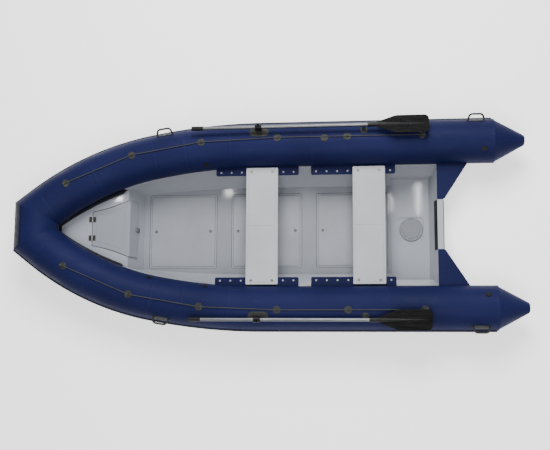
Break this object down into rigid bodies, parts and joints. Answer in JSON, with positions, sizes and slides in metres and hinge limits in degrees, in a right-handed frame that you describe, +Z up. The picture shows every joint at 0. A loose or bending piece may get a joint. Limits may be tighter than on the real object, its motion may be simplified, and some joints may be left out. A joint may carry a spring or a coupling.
{
  "type": "rigid inflatable boat",
  "caption": "Open boat with a keeled rigid hull, an inflated tube collar with conical ends, seat boards, a bow locker and oars stowed along the tubes.",
  "frame": {"origin": "on the centreline at the waterline, below the middle of the boat", "axes": "+X forward to the bow, +Y to port, +Z up"},
  "size_m": [4.8615, 2.0428, 0.8563],
  "materials": {
    "tube_fabric": "satin coated fabric",
    "gusset_fabric": "satin coated fabric",
    "rail_fabric": "satin coated fabric",
    "strake_rubber": "matte",
    "gelcoat": "gloss",
    "lid_gelcoat": "gloss",
    "panel_board": "satin, fine grip",
    "seat_board": "satin",
    "stainless_steel": "polished",
    "black_plastic": "satin",
    "plate_plastic": "satin",
    "patch_rubber": "matte",
    "rope": "braided",
    "handle_rubber": "matte",
    "aluminium_tube": "satin anodised"
  },
  "bodies": {
    "boat": {"bow_deck": "gelcoat", "bow_eye": "stainless_steel", "bow_locker": "gelcoat", "bow_valve": "black_plastic", "cone_port": "tube_fabric", "cone_starboard": "tube_fabric", "deck_hinges": "stainless_steel", "drain_plugs": "black_plastic", "floor": "gelcoat", "floor_panel_1": "panel_board", "floor_panel_2": "panel_board", "floor_panel_3": "panel_board", "handles_port": "handle_rubber", "handles_starboard": "handle_rubber", "hull": "gelcoat", "inspection_plate": "plate_plastic", "latch_keeper": "black_plastic", "lifeline_patches_port": "patch_rubber", "lifeline_patches_starboard": "patch_rubber", "lifeline_port": "rope", "lifeline_starboard": "rope", "motor_pad_inner": "black_plastic", "motor_pad_outer": "black_plastic", "oar_rest_port": "patch_rubber", "oar_rest_starboard": "patch_rubber", "rowlock_port": "patch_rubber", "rowlock_starboard": "patch_rubber", "rub_strake_bow": "strake_rubber", "rub_strake_port": "strake_rubber", "rub_strake_starboard": "strake_rubber", "seat_aft": "seat_board", "seat_forward": "seat_board", "seat_rails_port": "rail_fabric", "seat_rails_starboard": "rail_fabric", "side_moulding_port": "gelcoat", "side_moulding_starboard": "gelcoat", "stern_eyes": "stainless_steel", "transom": "gelcoat", "transom_gusset_port": "gusset_fabric", "transom_gusset_starboard": "gusset_fabric", "tube_aft_port": "tube_fabric", "tube_aft_starboard": "tube_fabric", "tube_bow": "tube_fabric", "tube_forward_port": "tube_fabric", "tube_forward_starboard": "tube_fabric", "valves_port": "black_plastic", "valves_starboard": "black_plastic"},
    "lid": {"locker_lid": "lid_gelcoat", "lid_hinges": "stainless_steel", "lid_latch": "black_plastic"},
    "oar_port": {"oar_shaft_port": "aluminium_tube", "oar_grip_port": "handle_rubber", "oar_collar_port": "black_plastic", "oar_blade_port": "black_plastic"},
    "oar_starboard": {"oar_shaft_starboard": "aluminium_tube", "oar_grip_starboard": "handle_rubber", "oar_collar_starboard": "black_plastic", "oar_blade_starboard": "black_plastic"}
  },
  "joints": [
    {"name": "lid_hinge", "type": "hinge", "parent": "boat", "child": "lid", "pos_m": [1.9415, 0, 0.222], "axis": [0, 1, 0], "range_deg": [0, 100]},
    {"name": "oar_swing_port", "type": "hinge", "parent": "boat", "child": "oar_port", "pos_m": [0.27421, 0.89831, 0.54128], "axis": [-0.0007, -0.4067, -0.9135], "range_deg": [0, 120]},
    {"name": "oar_swing_starboard", "type": "hinge", "parent": "boat", "child": "oar_starboard", "pos_m": [0.27421, -0.89831, 0.54128], "axis": [0.0007, -0.4067, 0.9135], "range_deg": [0, 120]}
  ]
}
